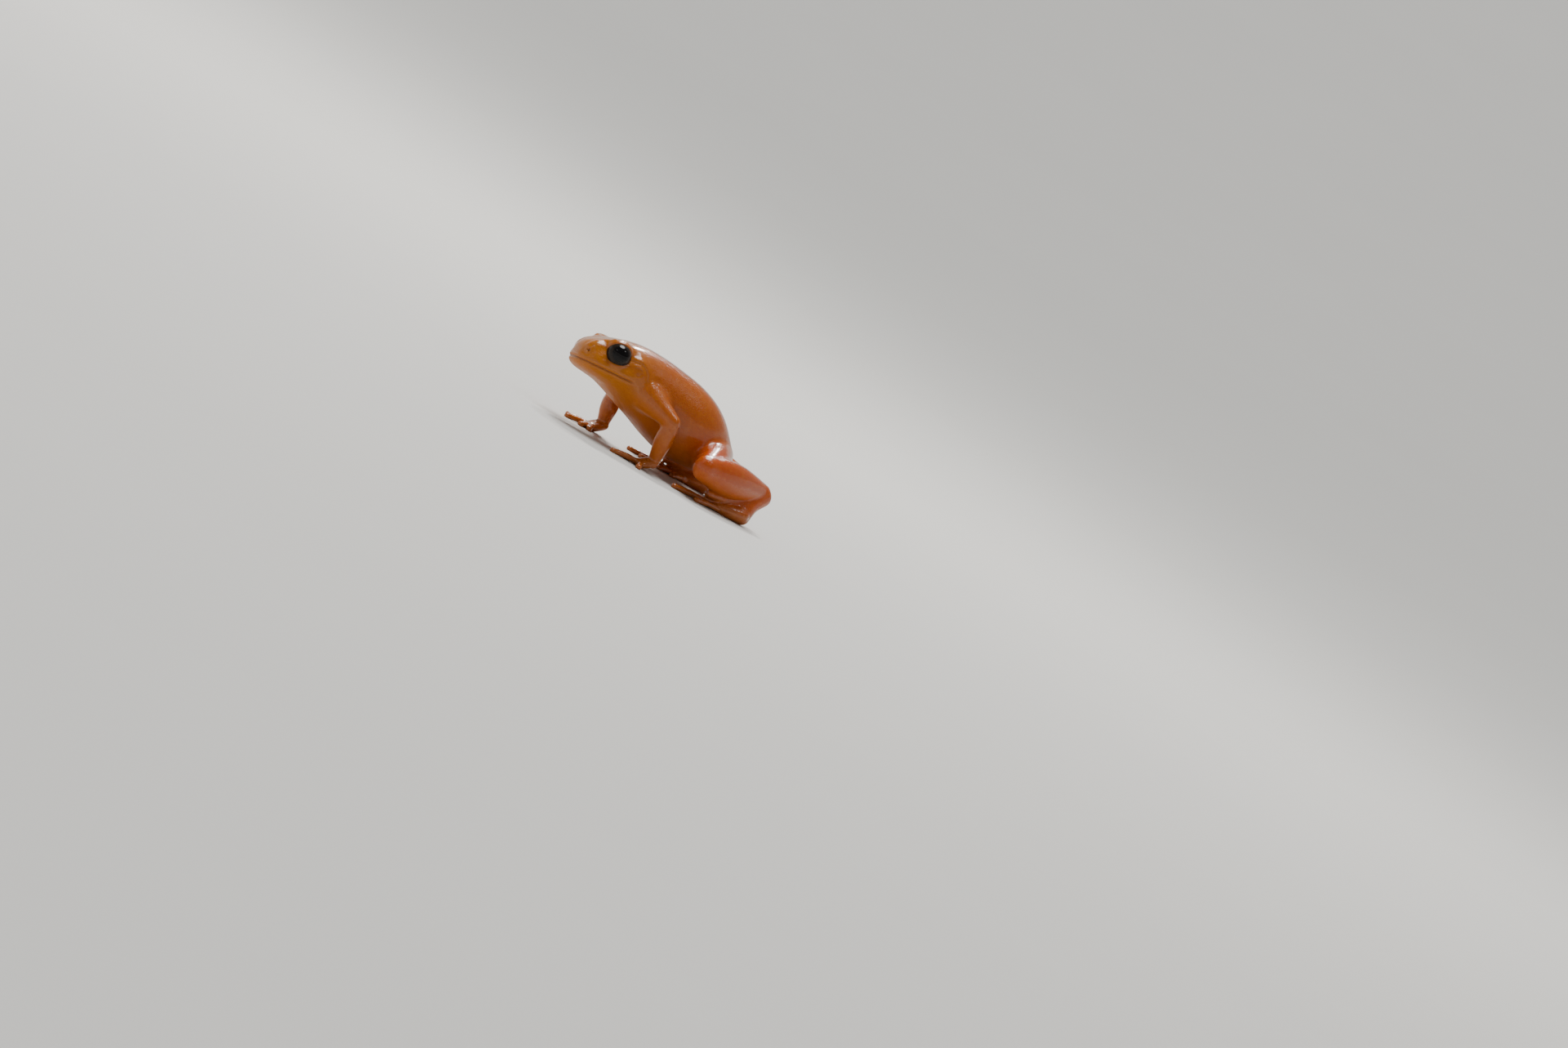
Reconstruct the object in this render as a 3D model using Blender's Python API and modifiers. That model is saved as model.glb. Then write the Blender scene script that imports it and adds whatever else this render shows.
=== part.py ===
# A golden mantella frog, life size, sitting alert with its head raised.
# The flesh is modelled whole from lofts in millimetres, then parted by thin cuts.
# Frog axes: forward along the body, left of the body, up from the floor.
import math

import bmesh
import bpy
import numpy as np
from mathutils import Matrix, Vector

MM = 0.001
GAP = 0.3

# Whole frog
BODY_ROLL_DEGREES = 9.0
ROLL_HEIGHT = 7.0
CENTRE_FORWARD = 1.4
CENTRE_LEFT = -0.05

# Body stations from the snout to the rump, in millimetres in the upright body:
# forward, underside, top, half width, height of the widest line, roundness
BODY_STATIONS = (
    (15.95, 7.35, 7.60, 0.05, 0.50, 2.0),
    (15.80, 6.50, 8.60, 1.40, 0.46, 2.1),
    (15.25, 6.05, 9.30, 2.35, 0.43, 2.5),
    (14.35, 5.88, 9.90, 3.05, 0.42, 2.8),
    (13.00, 5.80, 10.60, 3.60, 0.40, 2.8),
    (11.50, 5.65, 11.15, 4.00, 0.39, 2.6),
    (10.00, 5.20, 11.55, 4.20, 0.40, 2.3),
    (8.00, 4.50, 11.80, 4.10, 0.42, 2.2),
    (5.80, 3.80, 11.80, 4.15, 0.44, 2.2),
    (3.00, 2.85, 11.55, 4.50, 0.43, 2.2),
    (0.00, 2.20, 11.10, 4.80, 0.42, 2.2),
    (-2.20, 2.10, 10.40, 4.45, 0.43, 2.2),
    (-4.20, 2.25, 9.30, 3.60, 0.45, 2.2),
    (-5.70, 2.60, 8.05, 2.80, 0.47, 2.1),
    (-6.90, 3.30, 6.80, 2.10, 0.50, 2.0),
    (-7.55, 4.30, 5.80, 1.05, 0.50, 2.0),
    (-7.70, 4.95, 5.15, 0.05, 0.50, 2.0),
)

# Eyes, in the upright body
EYE_CENTRE = (12.27, 2.74, 9.07)
EYE_RADIUS = 1.50
SOCKET_RADIUS = EYE_RADIUS + GAP
LID_RADIUS = 1.90
EYE_AXIS = (0.34, 0.93, 0.14)
LID_OPENING = (1.85, 1.12, 1.45)

# Ear drums, nostrils and mouth, in the upright body
DRUM_PLACE = (9.60, 8.60)
DRUM_RADII = (0.70, 0.70, 0.22)
NOSTRIL_PLACE = (15.45, 8.15)
NOSTRIL_RADIUS = 0.20
MOUTH_HEIGHT = 6.85
MOUTH_FRONT = (14.0, 16.1)
MOUTH_NARROWEST = 0.3
MOUTH_CORNER = (9.70, 7.15)
MOUTH_RADIUS = 0.20
MOUTH_DEPTH = 0.08
LIP_RADIUS = 0.40
LIP_STEP = 0.40
LIP_DEPTH = 0.34
LID_OPENING_REACH = 1.35

# Limb joints on the floor axes, left side then right side
ARM_JOINTS = {
    "left": ((6.8, 2.9, 7.3), (3.85, 6.20, 6.30), (2.95, 5.55, 1.25)),
    "right": ((6.8, -2.9, 6.6), (5.80, -6.40, 5.10), (5.30, -5.90, 1.20)),
}
LEG_JOINTS = {
    "left": ((-5.6, 1.6, 5.0), (-1.70, 8.30, 3.85), (-11.8, 3.80, 4.20), (-9.75, 5.65, 1.05)),
    "right": ((-5.6, -1.9, 4.6), (-1.65, -8.40, 3.95), (-11.8, -4.10, 4.10), (-9.65, -5.95, 1.05)),
}
UPPER_ARM_RADII = (2.00, 1.70, 1.25, 0.98)
FOREARM_RADII = (0.92, 1.12, 1.12, 0.90, 0.70)
THIGH_RADII = (2.10, 2.25, 2.20, 1.85, 1.50)
SHANK_RADII = (1.55, 2.10, 2.10, 1.70, 1.15)
TARSUS_RADII = (1.15, 1.15, 1.10)
TARSUS_BOW = (0.35, 0.0, 0.1)
TARSUS_FLATNESS = (1.0, 1.35)
FOREARM_FLATNESS = (1.0, 0.95)
THIGH_FLATNESS = (0.88, 1.05)
SHANK_FLATNESS = (0.85, 1.0)

# Hands and feet: headings in degrees outward from straight ahead
HAND_HEADING = {"left": 2.0, "right": -18.0}
FINGER_SPREADS = {"left": (-46.0, -22.0, 0.0, 62.0), "right": (-44.0, -22.0, 4.0, 42.0)}
FINGER_LENGTHS = (2.5, 2.9, 3.9, 3.0)
PALM_LENGTH = 1.3
PALM_RADII = (0.66, 0.72, 0.70)
PALM_HEIGHT = 0.48
PALM_FLATNESS = (1.45, 0.80)
FINGER_INSET = 0.4
FINGER_HEIGHT = 0.45
FOOT_HEADING = {"left": 5.0, "right": 8.0}
TOE_SPREADS = (-34.0, -20.0, -8.0, 3.0, 18.0)
TOE_LENGTHS = (1.9, 2.9, 4.6, 6.2, 4.3)
SOLE_LENGTH = 3.6
SOLE_RADII = (1.22, 1.14, 0.66)
SOLE_FLATNESS = (1.20, 0.85)
SOLE_HEIGHT = 0.46
SOLE_BUMP = (2.5, -0.85, 0.36)
SOLE_BUMP_RADII = (0.62, 0.42, 0.40)
TOE_INSET = 1.1
TOE_STAGGER = 0.45
TOE_FAN = 0.6
TOE_HEIGHT = 0.42
DIGIT_RADIUS = 0.33
DIGIT_TIP_RADIUS = 0.42
DIGIT_HEIGHT = 0.24
DIGIT_ARCH = 0.16
DIGIT_TAPER = (1.15, 1.0, 0.95)
PAD_FLATNESS = 0.85

# Thin cuts between the nodes: how far along, how deep and how wide, in millimetres
NECK_TOP = (7.6, 0.0, 11.8)
NECK_LOW = (9.0, 0.0, 4.6)
NECK_CUT = (GAP, 14.0, 11.0)
SHOULDER_LEFT = 4.72
SHOULDER_LIFT = 0.4
SHOULDER_NORMAL = (0.15, 1.0, 0.0)
SHOULDER_CUT = (GAP, 6.0, 4.7)
HIP_LEFT = 4.80
HIP_NORMAL = (-0.22, 1.0, 0.0)
HIP_CUT = (GAP, 7.0, 6.4)
ELBOW_CUT = (1.9, 2.2, 3.2)
WRIST_CUT = (1.6, 1.6, 3.2)
KNEE_CUT = (6.6, 2.8, 6.0)
HEEL_CUT = (5.2, 2.4, 4.0)
ANKLE_CUT = (1.9, 2.0, 4.4)

# Colour and roughness of each region
SKIN_COLOURS = {
    "eye": ((0.008, 0.007, 0.006), 0.05),
    "head": ((0.72, 0.30, 0.035), 0.28),
    "torso": ((0.74, 0.24, 0.030), 0.28),
    "upper_arm": ((0.70, 0.23, 0.035), 0.28),
    "forearm": ((0.62, 0.22, 0.050), 0.30),
    "hand": ((0.50, 0.22, 0.080), 0.32),
    "thigh": ((0.74, 0.17, 0.020), 0.28),
    "shank": ((0.72, 0.19, 0.022), 0.28),
    "tarsus": ((0.62, 0.18, 0.035), 0.30),
    "foot": ((0.50, 0.20, 0.070), 0.32),
}
SHARP_DEGREES = 50.0

# Surface detail
VOXEL = 0.16
FLESH_TRIANGLES = 10000
RING_POINTS = 24
EVEN_ROUNDS = (0.5, -0.52) * 4
BLEND_ROUNDS = (0.6,) * 24
BODY_BLEND = 0.5
BODY_BLEND_BOX = (17.0, 4.0, 2.5)
SHOULDER_BLEND = (0.30, 2.0)
HIP_BLEND = (0.42, 3.2)
JOINT_BLENDS = {"elbow": 1.0, "eye": 2.3, "knee": 1.6, "heel": 1.2}


def clear_scene():
    for item in list(bpy.data.objects):
        bpy.data.objects.remove(item, do_unlink=True)


def unit(vector):
    return np.asarray(vector, float) / np.linalg.norm(vector)


def mirrored(point, side):
    return (point[0], point[1] if side == "left" else -point[1], point[2])


def leaned(points):
    """Turn upright body points about the body's long line, right side down."""
    points = np.atleast_2d(np.asarray(points, float))
    angle = math.radians(BODY_ROLL_DEGREES)
    left = points[:, 1]
    up = points[:, 2] - ROLL_HEIGHT
    turned = points.copy()
    turned[:, 1] = left * math.cos(angle) - up * math.sin(angle)
    turned[:, 2] = left * math.sin(angle) + up * math.cos(angle) + ROLL_HEIGHT
    return turned


def through(rows, count):
    """Rows of numbers read along a smooth curve that passes through each of them."""
    rows = np.asarray(rows, float)
    steps = np.linalg.norm(np.diff(rows[:, :3], axis=0), axis=1)
    places = np.concatenate(([0.0], np.cumsum(steps)))
    slopes = np.gradient(rows, places, axis=0)
    wanted = np.linspace(0.0, places[-1], count)
    index = np.clip(np.searchsorted(places, wanted, side="right") - 1, 0, len(places) - 2)
    width = (places[index + 1] - places[index])[:, None]
    t = (wanted - places[index])[:, None] / width
    first = (2 * t**3 - 3 * t**2 + 1) * rows[index] + (t**3 - 2 * t**2 + t) * width * slopes[index]
    return first + (3 * t**2 - 2 * t**3) * rows[index + 1] + (t**3 - t**2) * width * slopes[index + 1]


def section_at(forward):
    """Underside, top, half width, widest height and roundness of the body there."""
    rows = np.asarray(BODY_STATIONS)[::-1]
    return [np.interp(forward, rows[:, 0], rows[:, column]) for column in range(1, 6)]


def flank(forward, height):
    """How far out the upright body's side lies at a place along it and a height."""
    bottom, top, half, widest, roundness = section_at(forward)
    middle = bottom + widest * (top - bottom)
    reach = top - middle if height > middle else middle - bottom
    share = min(abs(height - middle) / reach, 1.0)
    return half * (1.0 - share**roundness) ** (1.0 / roundness)


def outward(forward, height):
    """The direction out of the upright body's side at the same place."""
    step = 0.1
    along = (flank(forward + step, height) - flank(forward - step, height)) / (2 * step)
    upward = (flank(forward, height + step) - flank(forward, height - step)) / (2 * step)
    return unit((-along, 1.0, -upward))


def lean_direction(direction):
    """A direction of the upright body after the body's lean."""
    return leaned(np.add(direction, (0.0, 0.0, ROLL_HEIGHT)))[0] - (0.0, 0.0, ROLL_HEIGHT)


def mouth_path(side, lift, depth):
    """Points along the lips from the snout to the corner of the mouth."""
    points = []
    reaches = [f for f in np.linspace(*MOUTH_FRONT, 106) if flank(f, MOUTH_HEIGHT + lift) > MOUTH_NARROWEST]
    snout = max(reaches) - depth
    for place in np.linspace(0.0, 1.0, 12):
        forward = snout + (MOUTH_CORNER[0] - snout) * place**2
        height = MOUTH_HEIGHT + lift + (MOUTH_CORNER[1] - MOUTH_HEIGHT) * place**3
        out = max(flank(forward, height) - depth, 0.0)
        points.append(mirrored((forward, out, height), side))
    return points


def closed_loft(name, rings, collection):
    """A closed skin over a row of rings of equal point count."""
    count = rings.shape[1]
    points = rings.reshape(-1, 3).tolist()
    points.append(rings[0].mean(axis=0).tolist())
    points.append(rings[-1].mean(axis=0).tolist())
    faces = []
    for ring in range(len(rings) - 1):
        for side in range(count):
            other = (side + 1) % count
            faces.append((ring * count + side, ring * count + other,
                          (ring + 1) * count + other, (ring + 1) * count + side))
    last = (len(rings) - 1) * count
    for side in range(count):
        other = (side + 1) % count
        faces.append((len(points) - 2, other, side))
        faces.append((len(points) - 1, last + side, last + other))
    mesh = bpy.data.meshes.new(name)
    mesh.from_pydata(points, [], faces)
    work = bmesh.new()
    work.from_mesh(mesh)
    bmesh.ops.recalc_face_normals(work, faces=work.faces)
    work.to_mesh(mesh)
    work.free()
    item = bpy.data.objects.new(name, mesh)
    collection.objects.link(item)
    return item


def body_loft(collection):
    rows = through(BODY_STATIONS, 70)
    angles = np.linspace(0.0, 2 * math.pi, RING_POINTS * 2, endpoint=False)
    across = np.cos(angles)
    upward = np.sin(angles)
    rings = []
    for forward, bottom, top, half, widest, roundness in rows:
        middle = bottom + widest * (top - bottom)
        power = 2.0 / roundness
        left = half * np.sign(across) * np.abs(across) ** power
        reach = np.where(upward > 0, top - middle, middle - bottom)
        height = middle + reach * np.sign(upward) * np.abs(upward) ** power
        rings.append(np.column_stack((np.full_like(left, forward), left, height)))
    rings = np.array(rings)
    shape = rings.shape
    return closed_loft("body", leaned(rings.reshape(-1, 3)).reshape(shape), collection)


def limb(name, points, radii, collection, flatness=(1.0, 1.0), across=(0.0, 0.0, 1.0),
         count=22, sides=RING_POINTS):
    """A round-ended loft along a path; flatness scales it sideways and along the across axis."""
    rows = np.column_stack((np.asarray(points, float), np.zeros(len(points))))
    path = through(rows, count)[:, :3]
    places = np.linspace(0.0, 1.0, count)
    radius = np.interp(places, np.linspace(0.0, 1.0, len(radii)), radii)
    radius = np.convolve(np.pad(radius, 2, mode="edge"), np.ones(5) / 5, mode="valid")
    tangent = np.gradient(path, axis=0)
    tangent /= np.linalg.norm(tangent, axis=1)[:, None]
    caps = np.radians((80.0, 55.0, 25.0))
    start = [(path[0] - tangent[0] * radius[0] * math.sin(a), tangent[0], radius[0] * math.cos(a))
             for a in caps]
    finish = [(path[-1] + tangent[-1] * radius[-1] * math.sin(a), tangent[-1], radius[-1] * math.cos(a))
              for a in caps[::-1]]
    stations = start + list(zip(path, tangent, radius)) + finish
    angles = np.linspace(0.0, 2 * math.pi, sides, endpoint=False)
    rings = []
    for centre, along, size in stations:
        side = unit(np.cross(across, along))
        over = np.cross(along, side)
        rings.append(centre + size * (np.outer(np.cos(angles) * flatness[0], side)
                                      + np.outer(np.sin(angles) * flatness[1], over)))
    return closed_loft(name, np.array(rings), collection)


def ball(name, centre, radii, collection, axis=(0.0, 0.0, 1.0), rings=12):
    """A ball or egg with its last radius along the given axis."""
    mesh = bpy.data.meshes.new(name)
    work = bmesh.new()
    bmesh.ops.create_uvsphere(work, u_segments=rings * 2, v_segments=rings, radius=1.0)
    work.to_mesh(mesh)
    work.free()
    turn = Vector(axis).to_track_quat("Z", "Y").to_matrix().to_4x4()
    mesh.transform(Matrix.Translation(Vector(centre)) @ turn @ Matrix.Diagonal((*radii, 1.0)))
    item = bpy.data.objects.new(name, mesh)
    collection.objects.link(item)
    return item


def heading_vector(degrees, side):
    angle = math.radians(degrees)
    out = 1.0 if side == "left" else -1.0
    return np.array((math.cos(angle), out * math.sin(angle), 0.0))


def digit(name, root, direction, length, collection):
    """A finger or toe that arches from its root and ends in a small pad on the floor."""
    tip = root + direction * length
    tip[2] = DIGIT_HEIGHT
    middle = root + direction * length * 0.5
    middle[2] = DIGIT_HEIGHT + DIGIT_ARCH
    limb(name, (root, middle, tip), [DIGIT_RADIUS * size for size in DIGIT_TAPER], collection)
    pad = (DIGIT_TIP_RADIUS, DIGIT_TIP_RADIUS, DIGIT_TIP_RADIUS * PAD_FLATNESS)
    ball(name + "_pad", tip, pad, collection)


def hand(side, collection):
    wrist = np.array(ARM_JOINTS[side][2])
    ahead = heading_vector(HAND_HEADING[side], side)
    palm = wrist + ahead * PALM_LENGTH
    palm[2] = PALM_HEIGHT
    limb("palm_" + side, (wrist, (wrist + palm) * 0.5, palm), PALM_RADII, collection, PALM_FLATNESS)
    for number, (spread, length) in enumerate(zip(FINGER_SPREADS[side], FINGER_LENGTHS), 1):
        way = heading_vector(HAND_HEADING[side] + spread, side)
        root = palm + way * FINGER_INSET
        root[2] = FINGER_HEIGHT
        digit("finger_%s_%d" % (side, number), root, way, length - FINGER_INSET, collection)


def foot(side, collection):
    ankle = np.array(LEG_JOINTS[side][3])
    ahead = heading_vector(FOOT_HEADING[side], side)
    sole = ankle + ahead * SOLE_LENGTH
    sole[2] = SOLE_HEIGHT
    limb("sole_" + side, (ankle, (ankle + sole) * 0.5, sole), SOLE_RADII, collection, SOLE_FLATNESS)
    across = heading_vector(FOOT_HEADING[side] + 90.0, side)
    bump = ankle + ahead * SOLE_BUMP[0] + across * SOLE_BUMP[1]
    bump[2] = SOLE_BUMP[2]
    ball("sole_bump_" + side, bump, SOLE_BUMP_RADII, collection)
    for number, (spread, length) in enumerate(zip(TOE_SPREADS, TOE_LENGTHS), 1):
        way = heading_vector(FOOT_HEADING[side] + spread, side)
        inset = SOLE_LENGTH - TOE_INSET + TOE_STAGGER * min(number, 6 - number)
        root = ankle + heading_vector(FOOT_HEADING[side] + spread * TOE_FAN, side) * inset
        root[2] = TOE_HEIGHT
        digit("toe_%s_%d" % (side, number), root, way, length, collection)


def flesh_pieces(collection):
    body_loft(collection)
    for side in ("left", "right"):
        eye = leaned(mirrored(EYE_CENTRE, side))[0]
        ball("lids_" + side, eye, (LID_RADIUS,) * 3, collection)
        for lift in (LIP_STEP, -LIP_STEP):
            lip = leaned(mouth_path(side, lift, LIP_DEPTH))
            limb("lip_" + side, lip, (LIP_RADIUS, LIP_RADIUS, LIP_RADIUS * 0.6), collection)
        shoulder, elbow, wrist = (np.array(p) for p in ARM_JOINTS[side])
        limb("upper_" + side, (shoulder, (shoulder + elbow) * 0.5, elbow), UPPER_ARM_RADII, collection)
        limb("fore_" + side, (elbow, (elbow + wrist) * 0.5, wrist), FOREARM_RADII, collection,
             FOREARM_FLATNESS, (1.0, 0.0, 0.0))
        hip, knee, heel, ankle = (np.array(p) for p in LEG_JOINTS[side])
        limb("thigh_" + side, (hip, (hip + knee) * 0.5, knee), THIGH_RADII, collection, THIGH_FLATNESS)
        limb("shank_" + side, (knee, (knee + heel) * 0.5, heel), SHANK_RADII, collection, SHANK_FLATNESS)
        limb("tarsus_" + side, (heel, (heel + ankle) * 0.5 + TARSUS_BOW, ankle), TARSUS_RADII, collection,
             TARSUS_FLATNESS, (1.0, 0.0, 0.0))
        hand(side, collection)
        foot(side, collection)


def joined(name, collection):
    """The collection's pieces as one mesh of many shells; the pieces are removed."""
    work = bmesh.new()
    for item in list(collection.objects):
        work.from_mesh(item.data)
        bpy.data.objects.remove(item, do_unlink=True)
    mesh = bpy.data.meshes.new(name)
    work.to_mesh(mesh)
    work.free()
    item = bpy.data.objects.new(name, mesh)
    collection.objects.link(item)
    return item


def applied(item):
    """Bake the item's modifiers into its mesh."""
    graph = bpy.context.evaluated_depsgraph_get()
    mesh = bpy.data.meshes.new_from_object(item.evaluated_get(graph))
    item.modifiers.clear()
    item.data = mesh
    return item


def relaxed(mesh, strength, rounds):
    """Draw each point toward the middle of its neighbours by its own strength."""
    points = np.empty(len(mesh.vertices) * 3)
    mesh.vertices.foreach_get("co", points)
    points = points.reshape(-1, 3)
    edges = np.empty(len(mesh.edges) * 2, int)
    mesh.edges.foreach_get("vertices", edges)
    first, second = edges.reshape(-1, 2).T
    count = np.bincount(edges, minlength=len(points))[:, None]
    strengths = strength(points)[:, None]
    for factor in rounds:
        middle = np.zeros_like(points)
        for axis in range(3):
            middle[:, axis] = (np.bincount(first, points[second, axis], len(points))
                               + np.bincount(second, points[first, axis], len(points)))
        points += factor * strengths * (middle / count - points)
    mesh.vertices.foreach_set("co", points.ravel())
    mesh.update()


def fold_places():
    """Where limbs run into the body and want a wide, soft blend: place and reach."""
    places = []
    for side in ("left", "right"):
        shoulder, elbow, _ = (np.array(p) for p in ARM_JOINTS[side])
        hip, knee, heel, _ = (np.array(p) for p in LEG_JOINTS[side])
        places.append((shoulder + (elbow - shoulder) * SHOULDER_BLEND[0], SHOULDER_BLEND[1]))
        places.append((hip + (knee - hip) * HIP_BLEND[0], HIP_BLEND[1]))
        places.append((elbow, JOINT_BLENDS["elbow"]))
        places.append((leaned(mirrored(EYE_CENTRE, side))[0], JOINT_BLENDS["eye"]))
        places.append((knee, JOINT_BLENDS["knee"]))
        places.append((heel, JOINT_BLENDS["heel"]))
    return places


def blend_strength(points):
    strength = np.zeros(len(points))
    for place, reach in fold_places():
        distance = np.linalg.norm(points - place, axis=1)
        strength = np.maximum(strength, np.exp(-(distance / reach) ** 4))
    forward, left, up = BODY_BLEND_BOX
    body = (points[:, 0] < forward) & (np.abs(points[:, 1]) < left) & (points[:, 2] > up)
    return np.maximum(strength, np.where(body, BODY_BLEND, 0.0))


def flesh_surface(collection):
    """One closed skin over all the pieces, its folds blended, its soles flat on the floor."""
    item = joined("flesh", collection)
    remesh = item.modifiers.new("skin", "REMESH")
    remesh.mode = "VOXEL"
    remesh.voxel_size = VOXEL
    applied(item)
    relaxed(item.data, lambda points: np.ones(len(points)), EVEN_ROUNDS)
    relaxed(item.data, blend_strength, BLEND_ROUNDS)
    thin = item.modifiers.new("thin", "DECIMATE")
    thin.ratio = FLESH_TRIANGLES / (2.0 * len(item.data.polygons))
    applied(item)
    work = bmesh.new()
    work.from_mesh(item.data)
    parts = work.verts[:] + work.edges[:] + work.faces[:]
    bmesh.ops.bisect_plane(work, geom=parts, dist=0.0001, plane_co=(0, 0, 0), plane_no=(0, 0, 1),
                           clear_inner=True)
    rims = [edge for edge in work.edges if edge.is_boundary]
    bmesh.ops.holes_fill(work, edges=rims, sides=0)
    bmesh.ops.triangulate(work, faces=work.faces)
    work.to_mesh(item.data)
    work.free()
    return item


def box(name, centre, axes, sizes, collection):
    """A box with the given axes and full sizes along them."""
    mesh = bpy.data.meshes.new(name)
    work = bmesh.new()
    bmesh.ops.create_cube(work, size=1.0)
    work.to_mesh(mesh)
    work.free()
    turn = Matrix([Vector(axis) for axis in axes]).transposed().to_4x4()
    mesh.transform(Matrix.Translation(Vector(centre)) @ turn @ Matrix.Diagonal((*sizes, 1.0)))
    item = bpy.data.objects.new(name, mesh)
    collection.objects.link(item)
    return item


def joint_cut(name, joint, before, after, reaches, collection):
    """A thin slab across a bent joint, on the plane that halves its angle."""
    inward, outward, width = reaches
    back = unit(np.subtract(before, joint))
    on = unit(np.subtract(after, joint))
    normal = unit(on - back)
    inner = unit(on + back)
    hinge = np.cross(normal, inner)
    centre = np.asarray(joint) + inner * (inward - outward) * 0.5
    box(name, centre, (normal, inner, hinge), (GAP, inward + outward, width), collection)


def parting_cuts(collection):
    """Thin slabs that part the flesh into its named pieces."""
    top = leaned(NECK_TOP)[0]
    low = leaned(NECK_LOW)[0]
    across = lean_direction((0.0, 1.0, 0.0))
    down = unit(low - top)
    box("cut_neck", (top + low) * 0.5, (np.cross(across, down), across, down), NECK_CUT, collection)
    for side in ("left", "right"):
        shoulder, elbow, wrist = (np.array(p) for p in ARM_JOINTS[side])
        hip, knee, heel, ankle = (np.array(p) for p in LEG_JOINTS[side])
        share = (SHOULDER_LEFT - abs(shoulder[1])) / abs(elbow[1] - shoulder[1])
        place = shoulder + (elbow - shoulder) * share
        place[2] += SHOULDER_LIFT
        normal = unit(mirrored(SHOULDER_NORMAL, side))
        box("cut_shoulder_" + side, place, (normal, np.cross((0, 0, 1), normal), (0, 0, 1)),
            SHOULDER_CUT, collection)
        share = (HIP_LEFT - abs(hip[1])) / abs(knee[1] - hip[1])
        place = hip + (knee - hip) * share
        normal = unit(mirrored(HIP_NORMAL, side))
        box("cut_hip_" + side, place, (normal, np.cross((0, 0, 1), normal), (0, 0, 1)),
            HIP_CUT, collection)
        palm = wrist + heading_vector(HAND_HEADING[side], side) * PALM_LENGTH
        toe = ankle + heading_vector(FOOT_HEADING[side], side) * SOLE_LENGTH
        joint_cut("cut_elbow_" + side, elbow, shoulder, wrist, ELBOW_CUT, collection)
        joint_cut("cut_wrist_" + side, wrist, elbow, palm, WRIST_CUT, collection)
        joint_cut("cut_knee_" + side, knee, hip, heel, KNEE_CUT, collection)
        joint_cut("cut_heel_" + side, heel, knee, ankle, HEEL_CUT, collection)
        joint_cut("cut_ankle_" + side, ankle, heel, toe, ANKLE_CUT, collection)


def face_cuts(collection):
    """Eye sockets, lid openings, nostrils, ear drums and the line of the mouth."""
    for side in ("left", "right"):
        eye = leaned(mirrored(EYE_CENTRE, side))[0]
        axis = unit(lean_direction(mirrored(EYE_AXIS, side)))
        ball("socket_" + side, eye, (SOCKET_RADIUS,) * 3, collection, rings=10)
        ball("opening_" + side, eye + axis * LID_OPENING_REACH, LID_OPENING, collection, axis, rings=8)
        for name, place, radii, rings in (("nostril_", NOSTRIL_PLACE, (NOSTRIL_RADIUS,) * 3, 5),
                                          ("drum_", DRUM_PLACE, DRUM_RADII, 8)):
            point = leaned(mirrored((place[0], flank(*place), place[1]), side))[0]
            way = lean_direction(mirrored(outward(*place), side))
            ball(name + side, point, radii, collection, way, rings)
    left = mouth_path("left", 0.0, MOUTH_DEPTH)
    right = mouth_path("right", 0.0, MOUTH_DEPTH)
    line = leaned(left[::-1] + right)
    limb("mouth", line, (MOUTH_RADIUS * 0.6, MOUTH_RADIUS, MOUTH_RADIUS, MOUTH_RADIUS * 0.6), collection,
         count=40, sides=8)


def parted(flesh, collection):
    """Each loose shell of the cut flesh as its own object, named by the marker nearest its middle."""
    work = bmesh.new()
    work.from_mesh(flesh.data)
    left = set(work.faces)
    shells = []
    while left:
        stack = [left.pop()]
        shell = list(stack)
        while stack:
            for edge in stack.pop().edges:
                for face in edge.link_faces:
                    if face in left:
                        left.remove(face)
                        stack.append(face)
                        shell.append(face)
        shells.append(shell)
    markers = node_markers()
    shells.sort(key=len, reverse=True)
    for shell in shells[:len(markers)]:
        order = {}
        faces = [[order.setdefault(vert, len(order)) for vert in face.verts] for face in shell]
        points = np.array([vert.co[:] for vert in order])
        name = min(markers, key=lambda key: np.linalg.norm(points.mean(axis=0) - markers[key]))
        mesh = bpy.data.meshes.new(name)
        mesh.from_pydata(points.tolist(), [], faces)
        collection.objects.link(bpy.data.objects.new(name, mesh))
        del markers[name]
    work.free()


def node_markers():
    """About the middle of each fleshy node, to know its shell by."""
    markers = {"head": leaned((12.5, 0.0, 8.3))[0], "torso": leaned((0.5, 0.0, 6.5))[0]}
    for side in ("left", "right"):
        shoulder, elbow, wrist = (np.array(p) for p in ARM_JOINTS[side])
        hip, knee, heel, ankle = (np.array(p) for p in LEG_JOINTS[side])
        markers["upper_arm_" + side] = shoulder + (elbow - shoulder) * 0.8
        markers["forearm_" + side] = (elbow + wrist) * 0.5
        markers["hand_" + side] = wrist + heading_vector(HAND_HEADING[side], side) * 3.0
        markers["thigh_" + side] = hip + (knee - hip) * 0.8
        markers["shank_" + side] = (knee + heel) * 0.5
        markers["tarsus_" + side] = (heel + ankle) * 0.5
        markers["foot_" + side] = ankle + heading_vector(FOOT_HEADING[side], side) * 3.0
    return markers


def painted(item):
    """The node's own material, with the colour of its region."""
    colour, roughness = next(value for key, value in SKIN_COLOURS.items() if item.name.startswith(key))
    material = bpy.data.materials.new(item.name)
    material.use_nodes = True
    shader = material.node_tree.nodes["Principled BSDF"]
    shader.inputs["Base Color"].default_value = (*colour, 1.0)
    shader.inputs["Roughness"].default_value = roughness
    shader.inputs["Metallic"].default_value = 0.0
    item.data.materials.append(material)


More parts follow.
